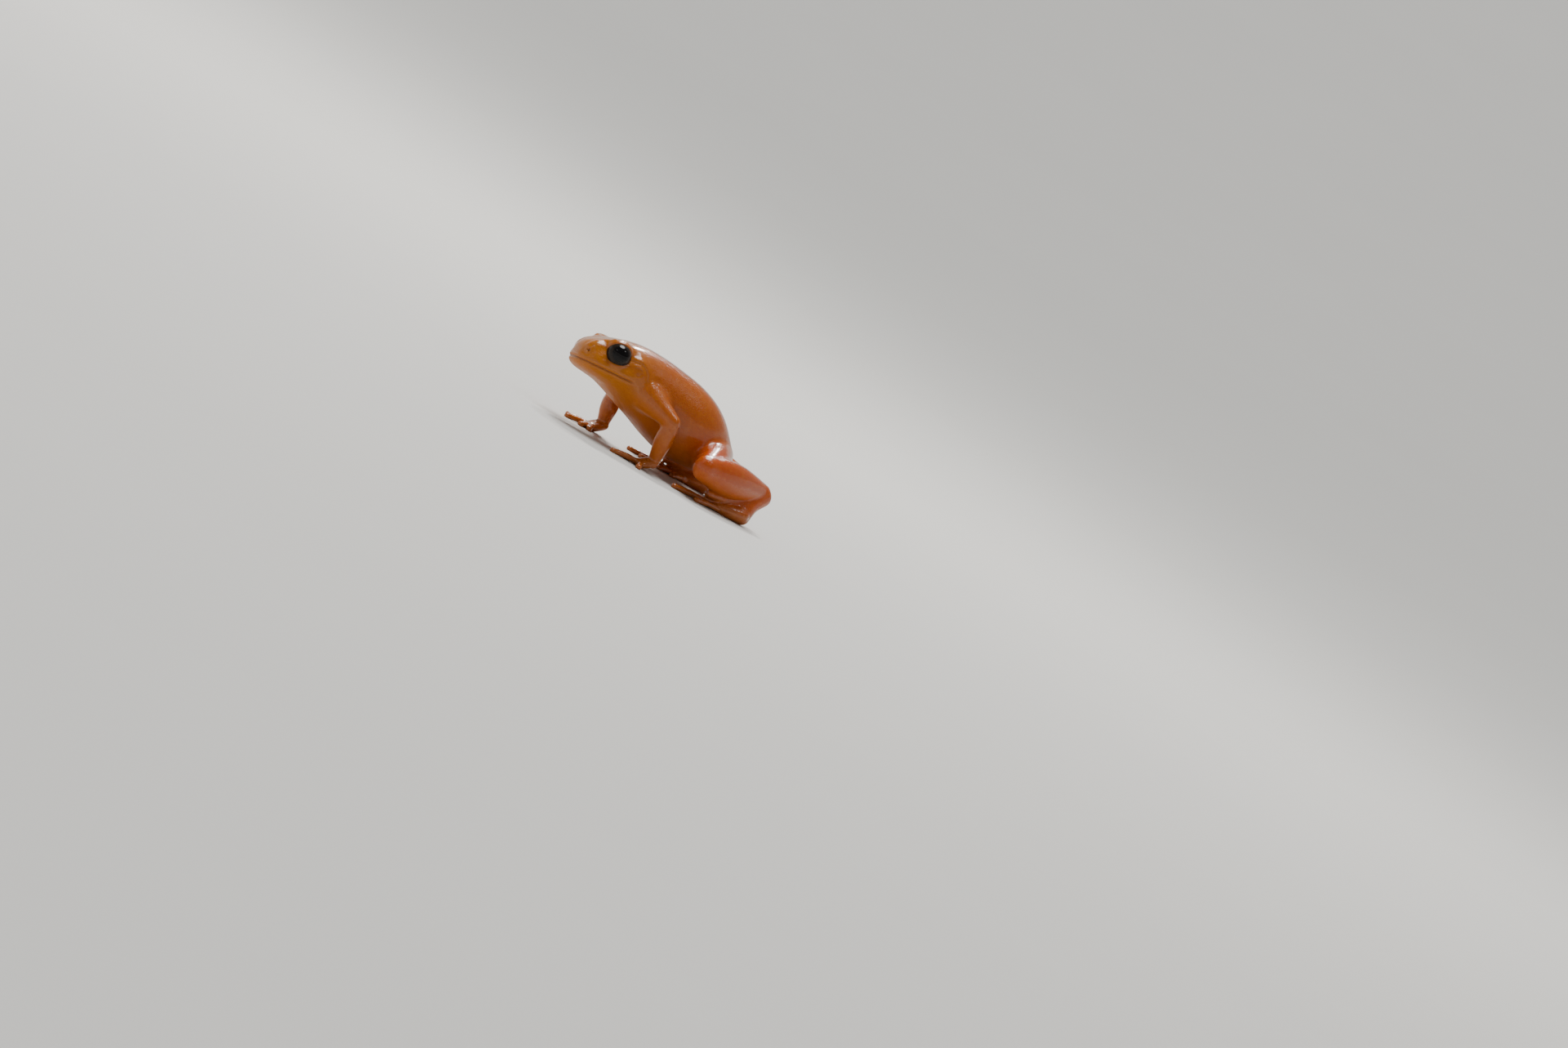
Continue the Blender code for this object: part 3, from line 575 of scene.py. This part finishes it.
# The lids: q is a point's angle from the way the eye looks, over the opening's own angle on that
# side of it. Inside q = 1 the skin passes behind the eye, at 1 it has a soft rim that stands just
# proud of it, and further out it eases back to the head.
def sculptLids(points, marks):
    marks["lid"] = np.zeros(len(points))
    body = leaned(points, back=True)
    aboveMouth = eased(*eyes["clearOfMouth"], body[:, 2] - mouthLine(body[:, 0]))
    for side in ("left", "right"):
        centre = eyeCentre(side)
        way = leanedWay(mirrored(eyes["way"], side))
        level = unit(np.cross(leanedWay((0.0, 0.0, 1.0)), way))
        ahead = level * np.sign(level[0])
        tilt = math.radians(eyes["openingTilt"])
        upward = np.cross(way, level)
        long = ahead * math.cos(tilt) - upward * math.sin(tilt)
        short = ahead * math.sin(tilt) + upward * math.cos(tilt)
        offset = points - centre
        away = np.linalg.norm(offset, axis=1)
        turn = np.degrees(np.arccos(np.clip(offset @ way / away, -1.0, 1.0)))
        bearing = np.arctan2(offset @ short, offset @ long)
        q = turn * np.hypot(np.cos(bearing) / eyes["openingWidth"],
                            np.sin(bearing) / eyes["openingHeight"])
        near = eased(*eyes["reach"], away) * aboveMouth
        outside = eased(eyes["tuckedAt"], 1.0, q)
        rim = eyes["floorRadius"] + (eyes["rimRadius"] - eyes["floorRadius"]) * outside
        height, place, width = eyes["swell"]
        slope, slopeFrom, slopeLength = eyes["slope"]
        rim += height * bell(q, place, width) + slope * np.clip(q - slopeFrom, 0.0, slopeLength)
        share = eased(*eyes["easedBack"], q) * near
        points = centre + offset / away[:, None] * (away + share * (rim - away))[:, None]
        marks["lid"] = np.maximum(marks["lid"], bell(q, *eyes["redEdge"]) * near)
    return points


creases = {
    # over each upper arm
    "paths": (((6.9, 4.0, 9.3), (5.4, 4.8, 9.1), (4.0, 5.2, 8.2)),
              ((6.9, -4.0, 8.3), (5.6, -4.9, 7.6), (4.4, -5.2, 6.6))),
    "depth": 0.05, "width": 0.35, "bankHeight": 0.025, "bankPlace": 0.77,
    "steps": 16, "reach": 6.0,
}


# A crease is depth * bell of the distance from its path, between two low banks.
def sculptCreases(points, normals):
    push = np.zeros(len(points))
    for path in creases["paths"]:
        near = np.linalg.norm(points - np.mean(path, axis=0), axis=1) < creases["reach"]
        away = awayFrom(points[near], smoothRows(path, creases["steps"]))
        push[near] += creases["bankHeight"] * bell(away, creases["bankPlace"], creases["width"])
        push[near] -= creases["depth"] * bell(away, 0.0, creases["width"])
    return points + normals * push[:, None]


markings = {
    # each pair is where a mark is none and where it is whole
    # the first pair is how far the skin bends inward where the painted shade in its creases is none and
    # whole
    "creaseBend": (0.0015, 0.012), "bendRounds": 6,
    "legAway": (3.6, 1.7),
    "flashAlong": 0.75, "flashOffset": (0.4, 0.0, 0.3), "flashWidth": 2.6,
    "digitHeight": (2.6, 0.7),
    "headForward": (5.0, 13.0),
    "bellyUp": (0.2, -0.9), "bellyHeight": (1.4, 2.4),
    "underUp": (0.15, -0.45),
}


# Numbers that the skin's colours follow, each 0 to 1 at every point.
def skinMarks(points, normals, edges, marks):
    # painted shade: the skin is darkened where it bends inward, in its creases and hollows
    bend = ((neighbourMean(points, edges) - points) * normals).sum(axis=1)
    for _ in range(markings["bendRounds"]):
        bend = neighbourMean(bend[:, None], edges)[:, 0]
    marks["crease"] = eased(*markings["creaseBend"], bend)
    marks["leg"] = np.zeros(len(points))
    marks["flash"] = np.zeros(len(points))
    for side in ("left", "right"):
        hip, knee, heel, ankle = (np.array(joint) for joint in legs[side])
        away = awayFrom(points, ((hip + knee) * 0.5, knee, heel, ankle))
        marks["leg"] = np.maximum(marks["leg"], eased(*markings["legAway"], away))
        flash = hip + (knee - hip) * markings["flashAlong"] + markings["flashOffset"]
        away = np.linalg.norm(points - flash, axis=1)
        marks["flash"] = np.maximum(marks["flash"], bell(away, 0.0, markings["flashWidth"]))
    marks["digit"] = eased(*markings["digitHeight"], points[:, 2])
    marks["head"] = eased(*markings["headForward"], leaned(points, back=True)[:, 0])
    facing = eased(*markings["bellyUp"], normals[:, 2])
    marks["belly"] = facing * eased(*markings["bellyHeight"], points[:, 2])
    marks["under"] = eased(*markings["underUp"], normals[:, 2])
    return marks


def makeSkin(material):
    piece = rawSkin()
    mesh = piece.data
    edges = edgesOf(mesh)
    points = pointsOf(mesh)
    marks = {}
    points = sculptCreases(points, normalsOf(mesh, points))
    points = sculptFace(points, normalsOf(mesh, points), marks)
    points = sculptLids(points, marks)
    points[:, 2] = np.maximum(points[:, 2], 0.0)
    skinMarks(points, normalsOf(mesh, points), edges, marks)
    mesh.vertices.foreach_set("co", placed(points).ravel())
    mesh.update()
    for name, values in marks.items():
        layer = mesh.attributes.new(name, "FLOAT", "POINT")
        layer.data.foreach_set("value", values.astype(np.float32))
    mesh.shade_smooth()
    mesh.materials.append(material)
    return piece


# The eyeball: a ball whose front stands out by bulge * exp(-(u / width)^2), u from the way it looks.
def makeEye(side, material):
    centre = eyeCentre(side)
    way = leanedWay(mirrored(eyes["way"], side))
    grid = ballSurface((0.0, 0.0, 0.0), (eyes["radius"],) * 3, way, eyes["rings"], eyes["ringPoints"])
    turn = np.arccos(np.clip(unit(grid) @ way, -1.0, 1.0))[..., None]
    grid = centre + grid * (1.0 + eyes["bulge"] / eyes["radius"] * bell(turn, 0.0, eyes["bulgeWidth"]))
    mesh = meshOfGrids("eyeball_" + side, [placed(grid)])
    fromAxis = mesh.attributes.new("fromAxis", "FLOAT", "POINT")
    fromAxis.data.foreach_set("value", turn.ravel().astype(np.float32))
    mesh.shade_smooth()
    mesh.materials.append(material)
    return newPiece("eyeball_" + side, mesh)


# A socket of a material's nodes: sums, differences and products with numbers or with one another
# add Math nodes, and node() adds any other kind.
class socketMaths:
    def __init__(self, tree, socket=None):
        self.tree = tree
        self.socket = socket

    def node(self, kind, settings, inputs, output=0):
        made = self.tree.nodes.new(kind)
        for name, value in settings.items():
            setattr(made, name, value)
        for name, value in inputs.items():
            if isinstance(value, socketMaths):
                self.tree.links.new(value.socket, made.inputs[name])
            else:
                made.inputs[name].default_value = value
        return socketMaths(self.tree, made.outputs[output])

    def maths(self, operation, first, second):
        return self.node("ShaderNodeMath", {"operation": operation}, {0: first, 1: second})

    def __add__(self, other):
        return self.maths("ADD", self, other)

    def __radd__(self, other):
        return self.maths("ADD", other, self)

    def __sub__(self, other):
        return self.maths("SUBTRACT", self, other)

    def __rsub__(self, other):
        return self.maths("SUBTRACT", other, self)

    def __mul__(self, other):
        return self.maths("MULTIPLY", self, other)

    def between(self, low, high):
        return self.node("ShaderNodeMapRange", {"interpolation_type": "SMOOTHSTEP"},
                         {"Value": self, "From Min": low, "From Max": high})

    def mark(self, name):
        return self.node("ShaderNodeAttribute", {"attribute_name": name}, {}, "Fac")

    def blend(self, share, first, second):
        mix = {"data_type": "RGBA", "clamp_factor": True}
        return self.node("ShaderNodeMix", mix, {0: share, 6: first, 7: second}, 2)

    # object coordinates in millimetres
    def millimetres(self):
        place = self.node("ShaderNodeTexCoord", {}, {}, "Object")
        return self.node("ShaderNodeVectorMath", {"operation": "SCALE"}, {0: place, "Scale": 1000.0})

    def noise(self, place, scale, detail=3.0):
        sockets = {"Vector": place, "Scale": scale, "Detail": detail}
        return self.node("ShaderNodeTexNoise", {}, sockets, "Fac")

    def grains(self, place, scale):
        sockets = {"Vector": place, "Scale": scale, "Smoothness": 0.6}
        return self.node("ShaderNodeTexVoronoi", {"feature": "SMOOTH_F1"}, sockets, 0)


def newMaterial(name, fixed):
    material = bpy.data.materials.new(name)
    material.use_nodes = True
    shader = material.node_tree.nodes["Principled BSDF"]
    for socket, value in fixed.items():
        shader.inputs[socket].default_value = value
    return material, shader, socketMaths(material.node_tree)


def feed(shader, socket, value):
    value.tree.links.new(value.socket, shader.inputs[socket])


skinLook = {
    "ochre": (0.42, 0.128, 0.0015, 1.0),
    "orange": (0.39, 0.084, 0.001, 1.0),
    "redOrange": (0.43, 0.066, 0.0005, 1.0),
    "flashRed": (0.45, 0.047, 0.0005, 1.0),
    "digitBrown": (0.33, 0.095, 0.015, 1.0),
    # this dark brown paints shade along the mouth's groove and into the nostrils
    "mouthShadeBrown": (0.14, 0.030, 0.004, 1.0),
    # this deep red paints shade into the creases, and is also the real red of the lids' rims, the ear
    # drums and the grains' rims
    "shadeAndRimRed": (0.25, 0.036, 0.003, 1.0),
    "paleOrange": (0.52, 0.155, 0.010, 1.0),
    # patterns to the millimetre
    "clouds": 0.35, "mottle": 1.6, "grains": 6.5, "fineGrains": 13.0,
    # how much of its colour each mark gives, and how much the clouds or the mottle add to that
    "leg": 0.9, "legClouds": 0.3, "flash": 0.55, "flashMottle": 0.4, "digit": 0.6, "digitMottle": 0.4,
    # the crease weight below is painted shade in the skin's creases
    "belly": 0.35, "crease": 0.55, "lid": 0.5, "drum": 0.18, "mouth": 0.75, "nostril": 0.95,
    # the pale flecks of the mottle and the red rims of the grains, and where each is none and whole
    "flecks": 0.22, "fleckFrom": (0.45, 0.70), "grainRims": 0.16, "grainRimFrom": (0.35, 0.75),
    # what the mottle and each mark add to the roughness, and take from the wet coat
    "roughness": 0.22, "mottleRoughness": 0.20, "digitRoughness": 0.06, "underRoughness": 0.25,
    "wetness": 0.9, "underDryness": 0.8,
    "grainHeight": 0.7, "fineHeight": 0.45, "mottleHeight": 0.8,     # each pattern's part in the bump
    "bump": 0.5,
    "bumpDepth": 0.00007,        # metres
}


def skinMaterial():
    look = skinLook
    material, shader, maths = newMaterial("wet skin", {
        "Metallic": 0.0, "IOR": 1.38, "Coat IOR": 1.36, "Coat Roughness": 0.10,
        "Subsurface Weight": 0.16, "Subsurface Scale": 0.0006, "Subsurface Radius": (1.0, 0.30, 0.05)})
    place = maths.millimetres()
    clouds = maths.noise(place, look["clouds"])
    mottle = maths.noise(place, look["mottle"], 4.0)
    grain = maths.grains(place, look["grains"])
    fine = maths.noise(place, look["fineGrains"], 2.0)
    digit, under = maths.mark("digit"), maths.mark("under")
    legShare = maths.mark("leg") * look["leg"] + (clouds - 0.5) * look["legClouds"]
    flashShare = maths.mark("flash") * (look["flash"] + mottle * look["flashMottle"])
    digitShare = digit * (look["digit"] + mottle * look["digitMottle"])
    # painted shade in the mouth's groove and in the nostrils
    grooveShadeShare = maths.mark("mouth") * look["mouth"] + maths.mark("nostril") * look["nostril"]
    colour = maths.blend(maths.mark("head"), look["orange"], look["ochre"])
    # each goes over the ones before it
    for share, name in (
            (legShare, "redOrange"), (flashShare, "flashRed"),
            (maths.mark("belly") * look["belly"], "paleOrange"), (digitShare, "digitBrown"),
            (mottle.between(*look["fleckFrom"]) * look["flecks"], "paleOrange"),
            # painted shade in the creases, from how far the skin bends inward
            (maths.mark("crease") * look["crease"], "shadeAndRimRed"),
            (maths.mark("lid") * look["lid"], "shadeAndRimRed"),
            # the last share but one is painted shade in the mouth's groove and the nostrils
            (maths.mark("drum") * look["drum"], "shadeAndRimRed"), (grooveShadeShare, "mouthShadeBrown"),
            (grain.between(*look["grainRimFrom"]) * look["grainRims"], "shadeAndRimRed")):
        colour = maths.blend(share, colour, look[name])
    feed(shader, "Base Color", colour)
    roughness = look["roughness"] + (mottle - 0.5) * look["mottleRoughness"]
    feed(shader, "Roughness", roughness + digit * look["digitRoughness"] + under * look["underRoughness"])
    feed(shader, "Coat Weight", look["wetness"] - under * look["underDryness"])
    height = (1.0 - grain) * look["grainHeight"] + fine * look["fineHeight"]
    height = height + mottle * look["mottleHeight"]
    bump = maths.node("ShaderNodeBump", {}, {"Strength": look["bump"], "Distance": look["bumpDepth"],
                                             "Height": height})
    feed(shader, "Normal", bump)
    return material


eyeLook = {
    "black": (0.004, 0.003, 0.003, 1.0),
    "iris": (0.020, 0.012, 0.007, 1.0),
    "pupilEdge": (0.62, 0.76),   # radians from the eye's axis, all pupil and all iris
    "edgeWaves": 3.0,            # to the millimetre
    "edgeWaveHeight": 0.10,
    "mottle": 9.0,
    "irisShare": 0.5, "irisMottle": 0.5,
    "roughness": 0.10, "irisRoughness": 0.12,
}


def eyeMaterial():
    look = eyeLook
    material, shader, maths = newMaterial("wet eye", {
        "Metallic": 0.0, "IOR": 1.34, "Specular IOR Level": 0.15,
        "Coat Weight": 1.0, "Coat IOR": 1.23, "Coat Roughness": 0.02})
    place = maths.millimetres()
    turn = maths.mark("fromAxis") + maths.noise(place, look["edgeWaves"]) * look["edgeWaveHeight"]
    iris = turn.between(*look["pupilEdge"])
    share = look["irisShare"] + maths.noise(place, look["mottle"]) * look["irisMottle"]
    feed(shader, "Base Color", maths.blend(iris * share, look["black"], look["iris"]))
    feed(shader, "Roughness", look["roughness"] + iris * look["irisRoughness"])
    return material


studio = {
    "flatTo": 0.25,              # metres of level floor round the frog
    "rise": 0.12,
    "reach": 4.0,
    "floorRings": 160,
    "floorPoints": 96,
    "floorColour": (0.56, 0.55, 0.52, 1.0),
    "floorClouds": 0.02,         # to the millimetre
    "floorDarker": 0.96,
    "worldColour": (0.80, 0.82, 0.85, 1.0),
    "worldStrength": 0.24,
    "sunWay": (-0.03, 0.22, 1.0),      # toward the broad, even light
    "sunStrength": 3.1,
    "sunWidth": 30.0,                  # degrees across
    # place in metres, size in metres, watts and colour
    "lights": (
        ("behind", (0.05, 0.32, 0.36), 0.060, 1.30, (1.0, 0.98, 0.95)),
        ("tailward", (0.145, 0.30, 0.32), 0.045, 0.65, (1.0, 0.98, 0.95)),
        ("overhead", (0.14, -0.14, 0.40), 0.025, 0.14, (1.0, 0.98, 0.95)),
        ("front", (-0.40, -0.10, 0.34), 0.025, 0.10, (1.0, 0.99, 0.97)),
    ),
}


# The floor: level to a radius and then rising all round by rise * (r - flatTo)^2.
def makeFloor():
    r = np.concatenate(([0.001], np.linspace(0.05, studio["reach"], studio["floorRings"])))[:, None]
    v = np.linspace(0.0, 2 * math.pi, studio["floorPoints"], endpoint=False)[None, :]
    height = studio["rise"] * np.maximum(r - studio["flatTo"], 0.0) ** 2
    grid = np.stack(np.broadcast_arrays(r * np.cos(v), r * np.sin(v), height), axis=-1)[::-1]
    index = np.arange(grid.shape[0] * grid.shape[1]).reshape(grid.shape[:2])
    around = np.roll(index, -1, axis=1)
    quads = np.stack((index[:-1], around[:-1], around[1:], index[1:]), axis=-1).reshape(-1, 4)
    mesh = bpy.data.meshes.new("floor")
    mesh.from_pydata(grid.reshape(-1, 3).tolist(), [], quads.tolist() + [index[-1].tolist()])
    mesh.shade_smooth()
    material, shader, maths = newMaterial("pale floor", {"Roughness": 0.75})
    clouds = maths.noise(maths.millimetres(), studio["floorClouds"])
    colour = studio["floorColour"]
    darker = tuple(value * studio["floorDarker"] for value in colour[:3]) + (1.0,)
    feed(shader, "Base Color", maths.blend(clouds, colour, darker))
    mesh.materials.append(material)
    return newPiece("floor", mesh)


def makeLights():
    world = bpy.data.worlds.new("studio")
    bpy.context.scene.world = world
    world.use_nodes = True
    sky = world.node_tree.nodes["Background"]
    sky.inputs["Color"].default_value = studio["worldColour"]
    sky.inputs["Strength"].default_value = studio["worldStrength"]
    sun = bpy.data.lights.new("evenLight", "SUN")
    sun.energy = studio["sunStrength"]
    sun.angle = math.radians(studio["sunWidth"])
    lamp = newPiece("evenLight", sun)
    lamp.rotation_euler = Vector(studio["sunWay"]).to_track_quat("Z", "Y").to_euler()
    for name, place, size, watts, colour in studio["lights"]:
        light = bpy.data.lights.new(name, "AREA")
        light.size = size
        light.energy = watts
        light.color = colour
        lamp = newPiece(name, light)
        lamp.location = place
        lamp.rotation_euler = (-lamp.location).to_track_quat("-Z", "Y").to_euler()


view = {
    "towardFront": 28.0,         # degrees from square on to the frog's left side
    "upward": 4.0,
    "roll": 32.0,                # the floor slopes this much in the picture
    "pixelsPerMm": 10.8,         # in the photograph's own pixels at the frog
    "pictureWidth": 1920.0,
    # the middle of the picture: millimetres ahead of and above the origin, and toward the camera
    "middle": (-16.27, 2.77, 5.0),
    "distance": 0.7,
    "sensor": 36.0,
}


# The camera's axes come from the three angles: ahead and above lie in the picture's plane before
# the roll, and toward points from the frog to the camera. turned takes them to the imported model's axes.
def makeCamera():
    side, rise, roll = (math.radians(view[name]) for name in ("towardFront", "upward", "roll"))
    toward = np.array((math.sin(side) * math.cos(rise), math.cos(side) * math.cos(rise), math.sin(rise)))
    ahead = np.array((math.cos(side), -math.sin(side), 0.0))
    above = np.cross(ahead, toward)
    right = -(ahead * math.cos(roll) - above * math.sin(roll))
    top = ahead * math.sin(roll) + above * math.cos(roll)
    target = ahead * view["middle"][0] + above * view["middle"][1] + toward * view["middle"][2]
    turned = np.array((-1.0, -1.0, 1.0))
    location = placed(target) + toward * turned * view["distance"]
    lens = bpy.data.cameras.new("camera")
    lens.sensor_width = view["sensor"]
    width = view["pictureWidth"] / view["pixelsPerMm"] * 0.001
    lens.lens = view["sensor"] * view["distance"] / width
    lens.clip_start = 0.005
    lens.clip_end = 20.0
    camera = newPiece("camera", lens)
    matrix = np.eye(4)
    matrix[:3, :3] = np.stack((right * turned, top * turned, toward * turned), axis=1)
    matrix[:3, 3] = location
    camera.matrix_world = Matrix(matrix.tolist())
    bpy.context.scene.camera = camera


flesh = [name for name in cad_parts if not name.startswith("eye")]
skin = makeSkin(skinMaterial())
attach(skin, "root")
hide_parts(*flesh)
print("skin:", len(skin.data.polygons), "faces over", len(flesh), "solids")

wetEye = eyeMaterial()
for side in ("left", "right"):
    eyeball = makeEye(side, wetEye)
    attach(eyeball, "root")
    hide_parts("eye_" + side)
print("eyes: two of", eyes["radius"] * 2, "mm")

makeFloor()
makeLights()
makeCamera()
print("studio: floor, lights and camera")
